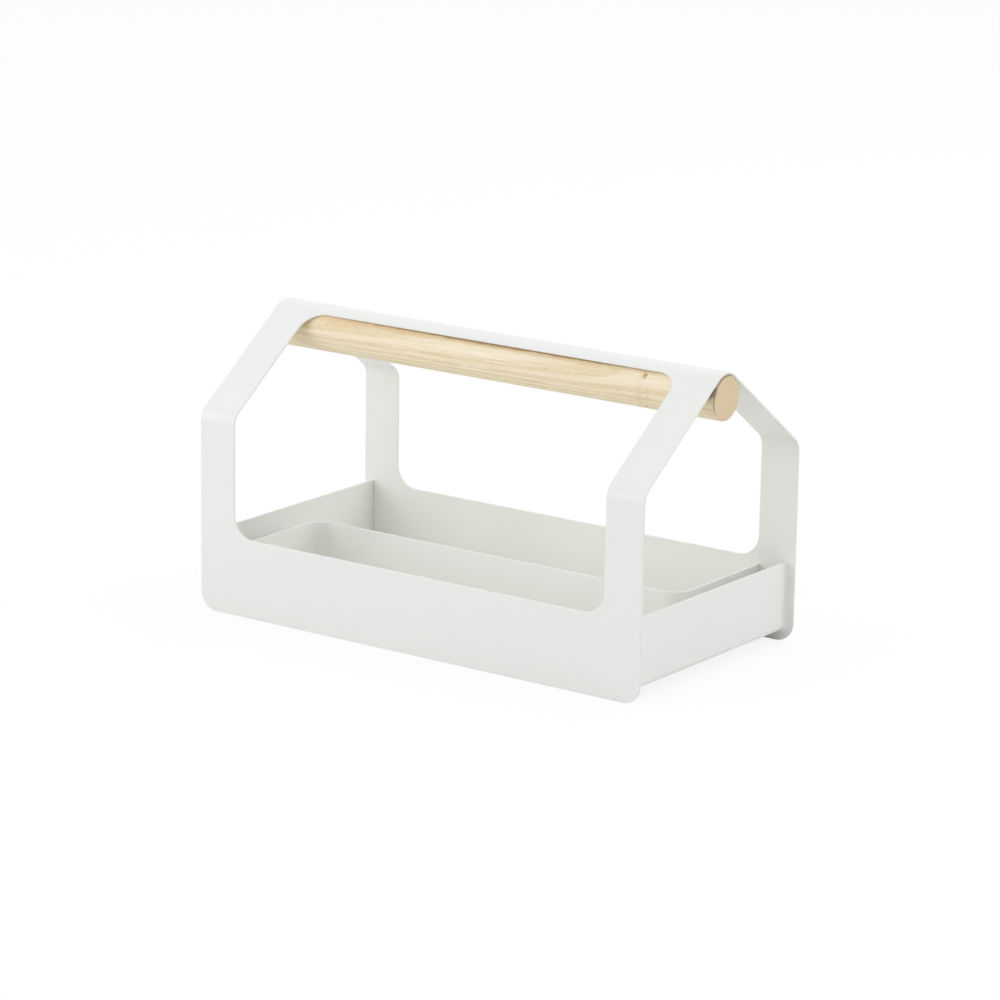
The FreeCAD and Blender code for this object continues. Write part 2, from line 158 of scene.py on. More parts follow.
def pick(piece: Piece, element: Element, wanted: Callable) -> None:
    """Select, in edit mode, only the elements that wanted() is true of.

    Args:
        piece: the piece that is open in edit mode.
        element: whether vertices, edges or faces are asked for.
        wanted: a test of one bmesh element, by its place or normal.

    Raises:
        ValueError: if there is no such element.
    """
    bpy.ops.mesh.select_mode(type=element.value)
    bpy.ops.mesh.select_all(action="DESELECT")
    mesh = bmesh.from_edit_mesh(piece.data)
    items = {Element.VERTEX: mesh.verts, Element.EDGE: mesh.edges, Element.FACE: mesh.faces}[element]
    found = [item for item in items if wanted(item)]
    for item in found:
        item.select_set(True)
    mesh.select_flush_mode()
    bmesh.update_edit_mesh(piece.data)
    if not found:
        raise ValueError(f"{piece.name}: nothing fits the selection")


def middle(edge: Edge) -> Vector:
    """Give the middle of an edge."""
    return (edge.verts[0].co + edge.verts[1].co) / 2


def runs_along(edge: Edge, axis: Vector) -> bool:
    """Tell whether an edge is parallel to an axis."""
    way = edge.verts[1].co - edge.verts[0].co
    return way.length > TOUCH and abs(abs(way.normalized().dot(axis)) - 1) < TOUCH


def merge_close(piece: Piece, distance: float) -> None:
    """Merge the vertices of a piece within a distance, and turn its normals the same way."""
    with editing(piece):
        bpy.ops.mesh.select_all(action="SELECT")
        bpy.ops.mesh.remove_doubles(threshold=distance)
        bpy.ops.mesh.normals_make_consistent(inside=False)


def apply_modifier(piece: Piece, kind: str, **settings) -> None:
    """Add a modifier with its settings to a piece and apply it at once."""
    make_active(piece)
    modifier = piece.modifiers.new(kind.lower(), kind)
    for name, value in settings.items():
        setattr(modifier, name, value)
    bpy.ops.object.modifier_apply(modifier=modifier.name)


def cut(piece: Piece, tool: Piece) -> None:
    """Cut a tool's volume out of a piece, and delete the tool."""
    apply_modifier(piece, "BOOLEAN", object=tool, operation="DIFFERENCE", solver="EXACT")
    bpy.data.objects.remove(tool)


def soften_edges(piece: Piece, radius: float, segments: int, spared: Callable | None = None) -> None:
    """Round the sharp edges of a piece and shade it smooth.

    Args:
        piece: the piece.
        radius: radius of the rounding.
        segments: how many faces it has.
        spared: a test of edges that are left as they are.
    """

    def is_sharp(edge: Edge) -> bool:
        """Tell whether an edge gets the rounding."""
        if spared and spared(edge):
            return False
        return edge.calc_face_angle(0.0) > SHARP

    with editing(piece):
        pick(piece, Element.EDGE, is_sharp)
        bpy.ops.mesh.bevel(offset=radius, segments=segments, affect="EDGES", clamp_overlap=True)
    shade_smooth(piece)


def shade_smooth(piece: Piece) -> None:
    """Shade a piece smooth, apart from its sharp edges."""
    make_active(piece)
    bpy.ops.object.shade_smooth_by_angle(angle=SHARP, keep_sharp_edges=False)
    apply_modifier(piece, "WEIGHTED_NORMAL", keep_sharp=True, weight=WEIGHT_BY_AREA)


@dataclass(frozen=True)
class Fold:
    """One bend of a sheet and the flat that follows it.

    The radius is that of the drawn face. The turn is to the left of the way the strip is going
    where it is positive.
    """

    radius: float
    turn: float
    flat: float


@dataclass(frozen=True)
class Strip:
    """A sheet folded from one strip.

    The strip starts at a point of the drawn face's section and goes along direction. Its width
    lies along axis, about the section's plane. The sheet's thickness is on the left of the drawn
    face where it is positive, and on its right where it is negative.
    """

    name: str
    start: Vector
    direction: Vector
    axis: Vector
    width: float
    first_flat: float
    folds: tuple[Fold, ...]
    thickness: float
    step: float = math.radians(4.0)

    def draw(self) -> Piece:
        """Make the first flat from a plane, then spin each bend and extrude each flat."""
        left = self.axis.cross(self.direction)
        turn = Matrix((self.axis, self.direction, left)).transposed()
        piece = start_piece(
            self.name,
            bpy.ops.mesh.primitive_plane_add,
            size=1.0,
            location=self.start + self.direction * self.first_flat / 2,
            rotation=turn.to_euler(),
        )
        settle(piece, Vector((self.width, self.first_flat, 1.0)))
        tip = self.start + self.direction * self.first_flat
        direction = self.direction.copy()
        for fold in self.folds:
            tip, direction = self.add_fold(piece, fold, tip, direction)
        return piece

    def add_fold(self, piece: Piece, fold: Fold, tip: Vector, direction: Vector) -> tuple[Vector, Vector]:
        """Add one bend and its flat to the strip's end.

        Args:
            piece: the strip so far.
            fold: the bend and the flat.
            tip: where the strip ends now.
            direction: which way it goes there.

        Returns:
            The new end and the new direction.
        """

        def at_tip(edge: Edge) -> bool:
            """Tell whether an edge is the strip's end."""
            offsets = (vertex.co - tip for vertex in edge.verts)
            return all((offset - self.axis * offset.dot(self.axis)).length < TOUCH for offset in offsets)

        left = self.axis.cross(direction)
        centre = tip + left * math.copysign(fold.radius, fold.turn)
        rotation = Matrix.Rotation(fold.turn, 3, self.axis)
        with editing(piece):
            pick(piece, Element.EDGE, at_tip)
            bpy.ops.mesh.spin(
                steps=math.ceil(abs(fold.turn) / self.step),
                angle=-fold.turn,  # the operator turns clockwise about its axis
                center=centre,
                axis=self.axis,
            )
            tip = centre + rotation @ (tip - centre)
            direction = rotation @ direction
            pick(piece, Element.EDGE, at_tip)
            bpy.ops.mesh.extrude_region_move(TRANSFORM_OT_translate={"value": direction * fold.flat})
        return tip + direction * fold.flat, direction

    def thicken(self, piece: Piece) -> Piece:
        """Merge the drawn face's doubles and give it the thickness."""
        merge_close(piece, TOUCH)
        left = self.axis.cross(self.direction)
        first = min(piece.data.polygons, key=lambda face: (face.center - self.start).length)
        to_left = 1.0 if first.normal.dot(left) > 0 else -1.0
        apply_modifier(
            piece,
            "SOLIDIFY",
            thickness=abs(self.thickness),
            offset=math.copysign(to_left, self.thickness * to_left),
            use_even_offset=True,
        )
        return piece

    def build(self) -> Piece:
        """Make the strip with its thickness."""
        return self.thicken(self.draw())


def add_block(low: Vector, high: Vector, rounded: Callable, radius: float, segments: int) -> Piece:
    """Make a block between two corners, with some of its edges rounded.

    Args:
        low: its lowest corner.
        high: its highest corner.
        rounded: a test of which edges are rounded.
        radius: radius of the rounding.
        segments: how many faces each rounding has.

    Returns:
        The block.
    """
    block = start_piece("block", bpy.ops.mesh.primitive_cube_add, size=1.0, location=(low + high) / 2)
    settle(block, high - low)
    with editing(block):
        pick(block, Element.EDGE, rounded)
        bpy.ops.mesh.bevel(offset=radius, segments=segments, affect="EDGES", clamp_overlap=False)
    return block


# ---- materials


def linear(hex_colour: str) -> tuple[float, float, float, float]:
    """Turn an sRGB hex colour such as "#E9EAE4" into linear red, green, blue and alpha."""
    knee, slope, offset, gamma = SRGB_CURVE
    channels = [level / BYTE_MAX for level in bytes.fromhex(hex_colour[1:])]
    levels = [c / slope if c <= knee else ((c + offset) / (1 + offset)) ** gamma for c in channels]
    return (*levels, 1.0)


def add_node(tree: Tree, kind: str, inputs: dict | None = None, **settings) -> bpy.types.Node:
    """Add a node with its settings, and give its inputs values or links.

    Args:
        tree: the material's or world's node tree.
        kind: the node's type, without "ShaderNode".
        inputs: for each input, by name or number, a value, a hex colour, an output or a node.
        settings: the node's own settings.

    Returns:
        The new node.
    """
    node = tree.nodes.new("ShaderNode" + kind)
    for name, value in settings.items():
        setattr(node, name, value)
    for key, value in (inputs or {}).items():
        if isinstance(value, str):
            value = linear(value)
        if isinstance(value, bpy.types.Node):
            value = next(output for output in value.outputs if output.enabled)
        if isinstance(value, bpy.types.NodeSocket):
            tree.links.new(value, node.inputs[key])
        else:
            node.inputs[key].default_value = value
    return node


def new_material(name: str) -> tuple[Material, Tree]:
    """Make an empty node material and give it and its node tree."""
    material = bpy.data.materials.new(name)
    material.use_nodes = True
    material.node_tree.nodes.clear()
    return material, material.node_tree


def millimetres(tree: Tree, centre: Vector = Vector()) -> Feed:
    """Give the place on the piece in millimetres, counted from a centre in metres."""
    place = add_node(tree, "TexCoord")
    return add_node(
        tree,
        "Mapping",
        {"Vector": place.outputs["Object"], "Location": -centre * PER_MM, "Scale": (PER_MM,) * 3},
    )


def dress(piece: Piece, material: Material) -> None:
    """Make a material the only one of a piece."""
    piece.data.materials.clear()
    piece.data.materials.append(material)


def finish(piece: Piece, material: Material, body: str, node: str) -> Piece:
    """Dress a piece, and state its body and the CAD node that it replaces."""
    dress(piece, material)
    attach(piece, body)
    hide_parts(node)
    return piece


@dataclass(frozen=True)
class PowderCoat:
    """Baked polyester powder on folded steel: an even, satin, chalk-white skin over every edge.

    It gives the eye a soft broad highlight, broken up by a fine orange peel.
    """

    name: str = "powder_coat_chalk_white"
    colour: str = "#F2F3ED"
    shade: str = "#F0F1EA"
    roughness: float = 0.42
    ior: float = 1.5
    peel: float = 1.6  # mm between the bumps of the orange peel
    peel_height: float = 0.012 * MM
    peel_detail: float = 2.0
    cloud: float = 45.0  # mm across the faint uneven places of the coat
    cloud_detail: float = 3.0

    def build(self) -> Material:
        """Make the material."""
        material, tree = new_material(self.name)
        place = millimetres(tree)
        clouds = add_node(
            tree, "TexNoise", {"Vector": place, "Scale": 1 / self.cloud, "Detail": self.cloud_detail}
        )
        colour = add_node(
            tree, "Mix", {"Factor": clouds, "A": self.colour, "B": self.shade}, data_type="RGBA"
        )
        peel = add_node(
            tree, "TexNoise", {"Vector": place, "Scale": 1 / self.peel, "Detail": self.peel_detail}
        )
        bump = add_node(tree, "Bump", {"Height": peel, "Distance": self.peel_height, "Strength": 1.0})
        shader = add_node(
            tree,
            "BsdfPrincipled",
            {"Base Color": colour, "Roughness": self.roughness, "IOR": self.ior, "Normal": bump},
        )
        add_node(tree, "OutputMaterial", {"Surface": shader})
        return material


@dataclass(frozen=True)
class Mark:
    """A soft round or oval mark on the wood: its middle and radii in mm from the handle's middle."""

    colour: str
    middle: Triple
    radii: Triple
    strength: float
    core: float = 0.0  # the part of the radii that is at full strength

    def nearness(self, tree: Tree, place: Feed) -> Feed:
        """Give the mark's strength at a place: all of it in the core, and none outside the radii."""
        scaled = add_node(
            tree,
            "Mapping",
            {
                "Vector": place,
                "Location": [-at / radius for at, radius in zip(self.middle, self.radii)],
                "Scale": [1 / radius for radius in self.radii],
            },
        )
        away = add_node(tree, "VectorMath", {0: scaled}, operation="LENGTH")
        return add_node(
            tree,
            "MapRange",
            {"Value": away, "From Min": 1.0, "From Max": self.core, "To Min": 0.0, "To Max": self.strength},
            interpolation_type="SMOOTHSTEP",
        )


@dataclass(frozen=True)
class OiledAsh:
    """Ash, turned along the grain, sanded and oiled: cream with tan growth lines and open pores.

    It gives the eye soft streaks that lean a little along the handle, arcs of the growth rings on
    its darker ends, and one small knot near the right end with the grain drawn up to it. Painted
    shade darkens the top under the ridge strip, and painted shadow lies on the right end by the sheet.
    """

    name: str = "ash_turned_and_oiled"
    late: str = "#FBEED0"  # dense late wood
    early: str = "#E9D4A7"  # open early wood
    cream: str = "#FFF8E6"  # single pale fibres
    pore: str = "#C6A873"
    heart_and_painted_shade: str = "#E8C48F"  # warmer wood along the top, also painted shade under the ridge strip
    end_grain: str = "#D8C097"
    roughness: float = 0.5
    ior: float = 1.47
    centre: Vector = field(default_factory=lambda: Vector((0.0, 0.0, 193.96)) * MM)
    lean: float = math.radians(1.4)
    pith: Pair = (60.0, -40.0)  # mm, the tree's middle from the handle's, Y and Z
    ring: float = 3.12  # mm between growth rings
    first_ring: float = 0.5  # the part of a ring that the first one is moved by
    wander: Pair = (90.0, 14.0)  # mm along and across, of the rings' slow bends
    wander_height: float = 3.0  # mm
    fibre: Pair = (34.0, 1.1)  # mm along and across
    fibre_levels: Pair = (0.3, 0.7)  # of the noise, where the fibres show not and fully
    fibre_share: float = 0.5
    thread: Pair = (60.0, 0.8)
    thread_levels: Pair = (0.56, 0.72)
    pore_size: Pair = (5.0, 0.3)
    pore_levels: Pair = (0.6, 0.7)
    streak_detail: float = 3.0
    bend_detail: float = 1.0
    ring_fade: Pair = (0.65, 0.15)  # of a ring, where the early wood ends and is full
    ring_start: Pair = (0.85, 1.0)  # of a ring, where the next one begins and is full
    noise_turn: Triple = (0.5, 0.7, 0.3)  # keeps the noise's grid off the ends
    relief: float = 0.03 * MM
    heart_and_shade_edge: Pair = (9.5, 12.5)  # mm above the middle where the warm wood and its painted shade begin
    heart_and_shade_strength: float = 0.3
    end_strength: float = 0.7
    end_depth: Pair = (0.7, 0.2)  # mm from the end face where the end grain shows
    pull: Mark = Mark("", (134.0, -12.0, 4.0), (75.0, 30.0, 26.0), 2.2)
    curl: Mark = Mark("", (141.0, -12.0, 6.0), (16.0, 12.0, 12.0), 1.0)
    curl_size: float = 7.0  # mm across the swirls beside the knot
    curl_height: float = 5.0
    ragged: Pair = (9.0, 1.8)  # mm along and across, of the marks' uneven edges
    ragged_height: float = 1.3  # mm
    marks: tuple[Mark, ...] = (
        Mark("#E3C794", (128.7, 0.0, -6.0), (5.0, 40.0, 22.0), 0.5),
        Mark("#E3C794", (136.6, 0.0, -6.0), (2.6, 40.0, 16.0), 0.4),
        Mark("#D3A46E", (131.9, -13.0, 9.3), (2.5, 6.0, 3.3), 0.72, 0.3),
        Mark("#8C683E", (132.9, -12.6, 10.0), (1.4, 6.0, 2.2), 0.62, 0.2),
        Mark("#8E6C3E", (132.7, -10.35, -12.2), (1.3, 3.0, 1.2), 0.6, 0.2),
        # painted shade: a faint wide band and a dark thin line on the wood just under the ridge strip's edge
        Mark("#DEC392", (0.0, -10.2, 12.4), (230.0, 5.3, 5.3), 0.75, 0.4),
        Mark("#7C5624", (10.0, -10.2, 12.4), (190.0, 2.1, 2.1), 0.6, 0.3),
        # painted shadow of the sheet on the wood's side beside the right end
        Mark("#6E4E26", (186.5, -14.6, 6.5), (6.5, 6.0, 8.0), 0.8, 0.35),
    )
    # painted shadow: a dark crescent on the end face's rim, where the ridge bend leaves a gap
    painted_gap_shadow: Mark = Mark("#46331E", (0.0, 1.6, -1.6), (1e5, 15.8, 15.8), 0.85, 1.06)

    def streaks(self, tree: Tree, place: Feed, size: Pair, limits: Pair) -> Feed:
        """Draw noise that is drawn out along the handle, and spread it between two limits.

        Args:
            tree: the material's node tree.
            place: the bent place on the wood.
            size: length and width of a streak in mm.
            limits: the noise's levels that give 0 and 1.

        Returns:
            The streaks, from 0 to 1.
        """
        along, across = size
        drawn = add_node(
            tree,
            "Mapping",
            {"Vector": place, "Scale": (1 / along, 1 / across, 1 / across), "Rotation": self.noise_turn},
        )
        noise = add_node(tree, "TexNoise", {"Vector": drawn, "Scale": 1.0, "Detail": self.streak_detail})
        return add_node(tree, "MapRange", {"Value": noise, "From Min": limits[0], "From Max": limits[1]})

    def shift(
        self, tree: Tree, place: Feed, noise_place: Feed, size: Triple, height: Triple, share: Feed | float
    ) -> Feed:
        """Move a place by soft noise.

        Args:
            tree: the material's node tree.
            place: the place that is moved.
            noise_place: the place that the noise is read at.
            size: the noise's size along each axis in mm.
            height: how far the noise moves the place along each axis in mm.
            share: how much of the move takes effect, from 0 to 1.

        Returns:
            The moved place.
        """
        drawn = add_node(tree, "Mapping", {"Vector": noise_place, "Scale": [1 / length for length in size]})
        noise = add_node(tree, "TexNoise", {"Vector": drawn, "Scale": 1.0, "Detail": self.bend_detail})
        off_middle = add_node(tree, "Math", {0: noise, 1: NOISE_MIDDLE}, operation="SUBTRACT")
        part = add_node(tree, "Math", {0: off_middle, 1: share}, operation="MULTIPLY")
        return add_node(tree, "VectorMath", {0: part, 1: height, 2: place}, operation="MULTIPLY_ADD")

    def bend(self, tree: Tree, place: Feed) -> Feed:
        """Lean the grain, let it wander, curl it beside the knot and draw it up to the knot."""
        leaned = add_node(tree, "Mapping", {"Vector": place, "Rotation": (0.0, self.lean, 0.0)})
        along, across = self.wander
        height = (0.0, self.wander_height, self.wander_height)
        bent = self.shift(tree, leaned, leaned, (along, across, across), height, 1.0)
        height = (0.0, self.curl_height, self.curl_height)
        share = self.curl.nearness(tree, place)
        bent = self.shift(tree, bent, place, (self.curl_size,) * 3, height, share)
        return add_node(
            tree,
            "VectorMath",
            {0: self.pull.nearness(tree, place), 1: -AXIS_Z, 2: bent},
            operation="MULTIPLY_ADD",
        )

    def rings(self, tree: Tree, bent: Feed) -> Feed:
        """Draw the growth rings: 1 in the early wood, which begins at once and fades away."""
        from_pith = add_node(
            tree,
            "Mapping",
            {
                "Vector": bent,
                "Location": (0.0, -self.pith[0] / self.ring, -self.pith[1] / self.ring),
                "Scale": (0.0, 1 / self.ring, 1 / self.ring),
            },
        )
        count = add_node(tree, "VectorMath", {0: from_pith}, operation="LENGTH")
        moved = add_node(tree, "Math", {0: count, 1: self.first_ring}, operation="ADD")
        year = add_node(tree, "Math", {0: moved}, operation="FRACT")
        bands = [
            add_node(
                tree,
                "MapRange",
                {"Value": year, "From Min": start, "From Max": end},
                interpolation_type="SMOOTHSTEP",
            )
            for start, end in (self.ring_fade, self.ring_start)
        ]
        return add_node(tree, "Math", dict(enumerate(bands)), operation="MAXIMUM")

    def end_share(self, tree: Tree, place: Feed) -> Feed:
        """Give how much of the end grain shows: on both end faces and over their rounded edges."""
        half_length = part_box("handle_dowel")[1].x * PER_MM
        start, end = (half_length - depth for depth in self.end_depth)
        axes = add_node(tree, "SeparateXYZ", {"Vector": place})
        reach = add_node(tree, "Math", {0: axes.outputs["X"]}, operation="ABSOLUTE")
        return add_node(
            tree,
            "MapRange",
            {"Value": reach, "From Min": start, "From Max": end, "To Max": self.end_strength},
        )

    def heart_and_shade_share(self, tree: Tree, bent: Feed) -> Feed:
        """Give how much of the warmer wood and painted shade shows, above an edge that follows the grain."""
        low, high = self.heart_and_shade_edge
        height = add_node(tree, "SeparateXYZ", {"Vector": bent}).outputs["Z"]
        return add_node(
            tree,
            "MapRange",
            {"Value": height, "From Min": low, "From Max": high, "To Max": self.heart_and_shade_strength},
            interpolation_type="SMOOTHSTEP",
        )

    def build(self) -> Material:
        """Make the material."""
        material, tree = new_material(self.name)
        place = millimetres(tree, self.centre)
        bent = self.bend(tree, place)
        rings = self.rings(tree, bent)
        fibres = self.streaks(tree, bent, self.fibre, self.fibre_levels)
        threads = self.streaks(tree, bent, self.thread, self.thread_levels)
        holes = self.streaks(tree, bent, self.pore_size, self.pore_levels)
        tone = add_node(
            tree, "Mix", {"Factor": self.fibre_share, "A": rings, "B": fibres}, data_type="FLOAT"
        )
        pores = add_node(tree, "Math", {0: holes, 1: rings}, operation="MULTIPLY")
        # the end grain, with the dark crescent of painted gap shadow on its rim
        end = add_node(
            tree,
            "Mix",
            {"Factor": self.painted_gap_shadow.nearness(tree, place), "A": self.end_grain, "B": self.painted_gap_shadow.colour},
            data_type="RGBA",
        )
        along, across = self.ragged
        uneven = self.shift(tree, place, place, (along, across, across), (self.ragged_height,) * 3, 1.0)
        layers = [
            (tone, self.early),
            (threads, self.cream),
            (pores, self.pore),
            # warmer wood along the top, partly painted shade under the ridge strip
            (self.heart_and_shade_share(tree, bent), self.heart_and_painted_shade),
            *((mark.nearness(tree, uneven), mark.colour) for mark in self.marks),
            (self.end_share(tree, place), end),
        ]
        colour = self.late
        for share, layer in layers:
            colour = add_node(tree, "Mix", {"Factor": share, "A": colour, "B": layer}, data_type="RGBA")
        height = add_node(tree, "Math", {0: fibres, 1: pores}, operation="SUBTRACT")
        bump = add_node(tree, "Bump", {"Height": height, "Distance": self.relief, "Strength": 1.0})
        shader = add_node(
            tree,
            "BsdfPrincipled",
            {"Base Color": colour, "Roughness": self.roughness, "IOR": self.ior, "Normal": bump},
        )
        add_node(tree, "OutputMaterial", {"Surface": shader})
        return material


@dataclass(frozen=True)
class ZincPlate:
    """Bright zinc plate on a steel screw: a cool grey metal with a faint turned grain."""

    name: str = "zinc_plated_steel"
    bright: str = "#C9CBCC"
    dull: str = "#A9ACAE"
    roughness: float = 0.34
    grain: float = 0.5  # mm across the marks of the plating
    grain_detail: float = 3.0

    def build(self) -> Material:
        """Make the material."""
        material, tree = new_material(self.name)
        marks = add_node(
            tree,
            "TexNoise",
            {"Vector": millimetres(tree), "Scale": 1 / self.grain, "Detail": self.grain_detail},
        )
        colour = add_node(tree, "Mix", {"Factor": marks, "A": self.bright, "B": self.dull}, data_type="RGBA")
        shader = add_node(
            tree, "BsdfPrincipled", {"Base Color": colour, "Metallic": 1.0, "Roughness": self.roughness}
        )
        add_node(tree, "OutputMaterial", {"Surface": shader})
        return material


# ---- the pieces


@dataclass
class FoldedFrame:
    """The one sheet that makes both long sides and the roof, with a window in each side."""

    coat: Material
    screws: "HandleScrews"
    sheet: float = SHEET
    roof_pitch: float = ROOF_PITCH
    shoulder_bend: float = 11.5 * MM
    panel_corner: float = 14.0 * MM
    window_post: float = 30.7 * MM
    window_sill: float = 57.5 * MM
    window_corner: float = 16.5 * MM
    ridge_land: float = 1.1 * MM
    handle_fit: float = 0.2 * MM
    coat_round: float = 0.55 * MM
    shortest_edge: float = 0.4 * MM
    round_segments: int = 3
    corner_segments: int = 14
    cutter_reach: float = 1.0 * MM
    half_length: float = field(init=False)
    half_depth: float = field(init=False)
    ridge_radius: float = field(init=False)
    ridge_height: float = field(init=False)
    shoulder_height: float = field(init=False)

    def __post_init__(self) -> None:
        """Take the overall sizes from the frame."""
        _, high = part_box("frame_band")
        rod_low, rod_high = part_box("handle_dowel")
        self.half_length, self.half_depth = high.x, high.y
        self.ridge_radius = (rod_high.z - rod_low.z) / 2 + self.handle_fit + self.sheet
        self.ridge_height = (rod_high.z + rod_low.z) / 2
        rise = self.half_depth * math.tan(self.roof_pitch)
        apex = self.ridge_height + self.ridge_radius / math.cos(self.roof_pitch)
        self.shoulder_height = apex - rise

    def fold(self) -> Piece:
        """Fold the strip: panel, slope, slope and panel."""
        shoulder_turn = QUARTER - self.roof_pitch
        shoulder_radius = self.shoulder_bend + self.sheet
        shoulder_cut = shoulder_radius * math.tan(shoulder_turn / 2)
        ridge_cut = self.ridge_radius * math.tan(self.roof_pitch)
        slope = self.half_depth / math.cos(self.roof_pitch) - shoulder_cut - ridge_cut
        panel = self.shoulder_height - shoulder_cut
        strip = Strip(
            name="folded_frame",
            start=Vector((0.0, -self.half_depth, 0.0)),
            direction=AXIS_Z,
            axis=-AXIS_X,
            width=2 * self.half_length,
            first_flat=panel,
            folds=(
                Fold(shoulder_radius, shoulder_turn, slope),
                Fold(self.ridge_radius, 2 * self.roof_pitch, slope),
                Fold(shoulder_radius, shoulder_turn, panel),
            ),
            thickness=self.sheet,
        )
        piece = strip.draw()
        with editing(piece):
            pick(piece, Element.VERTEX, lambda vertex: abs(vertex.co.z) < TOUCH)
            bpy.ops.mesh.bevel(offset=self.panel_corner, segments=self.corner_segments, affect="VERTICES")
        return strip.thicken(piece)

    def panel_cutter(self, side: Side) -> Piece:
        """Make the block that opens one panel's window, rounded at its two lower corners."""
        half_width = self.half_length - self.window_post
        inside = self.half_depth - (self.shoulder_bend + self.sheet)
        ends = sorted((side.value * (self.half_depth + self.cutter_reach), side.value * inside))
        return add_block(
            Vector((-half_width, ends[0], self.window_sill)),
            Vector((half_width, ends[1], self.shoulder_height)),
            lambda edge: runs_along(edge, AXIS_Y) and middle(edge).z < self.window_sill + TOUCH,
            self.window_corner,
            self.corner_segments,
        )

    def roof_cutter(self, side: Side) -> Piece:
        """Make the block that opens one slope's window, rounded at its two upper corners."""
        half_width = self.half_length - self.window_post
        depth = self.shoulder_bend + self.sheet
        fold_edge = self.ridge_radius * math.sin(self.roof_pitch)
        reach = (self.half_depth - fold_edge) / math.cos(self.roof_pitch) - self.ridge_land
        ends = sorted((0.0, -side.value * reach))
        block = add_block(
            Vector((-half_width, ends[0], -depth)),
            Vector((half_width, ends[1], self.cutter_reach)),
            lambda edge: runs_along(edge, AXIS_Z) and abs(middle(edge).y) > reach - TOUCH,
            self.window_corner,
            self.corner_segments,
        )
        block.rotation_euler.x = -side.value * self.roof_pitch
        block.location = (0.0, side.value * self.half_depth, self.shoulder_height)
        settle(block)
        return block

    def build(self) -> Piece:
        """Fold the sheet, open its windows, round its edges and coat it."""
        piece = self.fold()
        for side in Side:
            cut(piece, self.panel_cutter(side))
            cut(piece, self.roof_cutter(side))
        merge_close(piece, self.shortest_edge)
        soften_edges(piece, self.coat_round, self.round_segments)
        for end in End:
            cut(piece, self.screws.hole(end))
        shade_smooth(piece)
        return finish(piece, self.coat, "frame", "frame_band")


@dataclass
class Tray:
    """The floor and both end walls, folded from one sheet, with the weld along its outside."""

    coat: Material
    sheet: float = SHEET
    bend: float = 3.0 * MM
    bend_step: float = math.radians(11.25)
    seam_gap: float = 0.4 * MM
    seam_width: float = 2.2 * MM
    seam_hollow: float = 1.8 * MM
    hollow_segments: int = 6
    coat_round: float = 0.45 * MM
    round_segments: int = 3
    wall_outside: float = field(init=False)
    underside: float = field(init=False)
    rim: float = field(init=False)
    half_width: float = field(init=False)

    def __post_init__(self) -> None:
        """Take the overall sizes from the frame."""
        low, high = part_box("tray")
        self.wall_outside = high.x - self.seam_width
        self.underside = low.z + self.seam_width
        self.rim = high.z
        self.half_width = high.y - self.seam_gap

    def channel(self) -> Piece:
        """Fold the U of the floor and both walls."""
        bend = self.bend + self.sheet
        wall = self.rim - self.underside - bend
        floor = 2 * (self.wall_outside - bend)
        strip = Strip(
            name="welded_tray",
            start=Vector((-self.wall_outside, 0.0, self.rim)),
            direction=-AXIS_Z,
            axis=-AXIS_Y,
            width=2 * self.half_width,
            first_flat=wall,
            folds=(Fold(bend, QUARTER, floor), Fold(bend, QUARTER, wall)),
            thickness=self.sheet,
            step=self.bend_step,
        )
        return strip.build()

    def on_outer_face(self, point: Vector) -> bool:
        """Tell whether a point lies on the outer face of the floor, a wall or a bend."""
        bend = self.bend + self.sheet
        across = abs(point.x) - (self.wall_outside - bend)
        down = self.underside + bend - point.z
        if down <= 0:
            return abs(across - bend) < TOUCH
        if across <= 0:
            return abs(down - bend) < TOUCH
        return abs(math.hypot(across, down) - bend) < TOUCH

    def split_edges(self, piece: Piece) -> None:
        """Halve the sheet's two long cut edges, so that the weld can stand on their outer half."""

        def crosses_cut_edge(edge: Edge) -> bool:
            """Tell whether an edge runs through the sheet's thickness beside a panel."""
            first, second = (self.on_outer_face(vertex.co) for vertex in edge.verts)
            return first != second and abs(abs(middle(edge).y) - self.half_width) < TOUCH

        with editing(piece):
            pick(piece, Element.EDGE, crosses_cut_edge)
            bpy.ops.mesh.subdivide(number_cuts=1)

    def add_seam(self, piece: Piece, side: Side) -> None:
        """Add the weld along one panel: a tongue to the panel, a block on it, a hollow at its root.

        Args:
            piece: the folded tray, its cut edges split.
            side: which panel.
        """
        way = side.value

        def is_outer_half(face: Face) -> bool:
            """Tell whether a face is in the outer half of the cut edge."""
            on_face = [self.on_outer_face(vertex.co) for vertex in face.verts]
            return face.normal.y * way > FACING and sum(on_face) == 2

        def is_tongue_back(face: Face) -> bool:
            """Tell whether a face is the outer one of the tongue."""
            past_edge = face.calc_center_median().y * way > self.half_width + TOUCH
            return past_edge and all(self.on_outer_face(vertex.co) for vertex in face.verts)

        def is_root(edge: Edge) -> bool:
            """Tell whether an edge is where the block stands on the tray's outer face."""
            on_line = all(
                abs(vertex.co.y * way - self.half_width) < TOUCH and self.on_outer_face(vertex.co)
                for vertex in edge.verts
            )
            return on_line and not runs_along(edge, AXIS_Y)

        with editing(piece):
            pick(piece, Element.FACE, is_outer_half)
            bpy.ops.mesh.extrude_region_move(TRANSFORM_OT_translate={"value": AXIS_Y * way * self.seam_gap})
            pick(piece, Element.FACE, is_tongue_back)
            bpy.ops.mesh.extrude_region_shrink_fatten(
                TRANSFORM_OT_shrink_fatten={"value": self.seam_width, "use_even_offset": True}
            )
            pick(piece, Element.EDGE, is_root)
            bpy.ops.mesh.bevel(offset=self.seam_hollow, segments=self.hollow_segments, affect="EDGES")

    def build(self) -> Piece:
        """Fold the tray, weld it, round its edges and coat it."""
        piece = self.channel()
        self.split_edges(piece)
        for side in Side:
            self.add_seam(piece, side)
        soften_edges(
            piece,
            self.coat_round,
            self.round_segments,
            spared=lambda edge: abs(middle(edge).y) > self.half_width + TOUCH,
        )
        return finish(piece, self.coat, "frame", "tray")


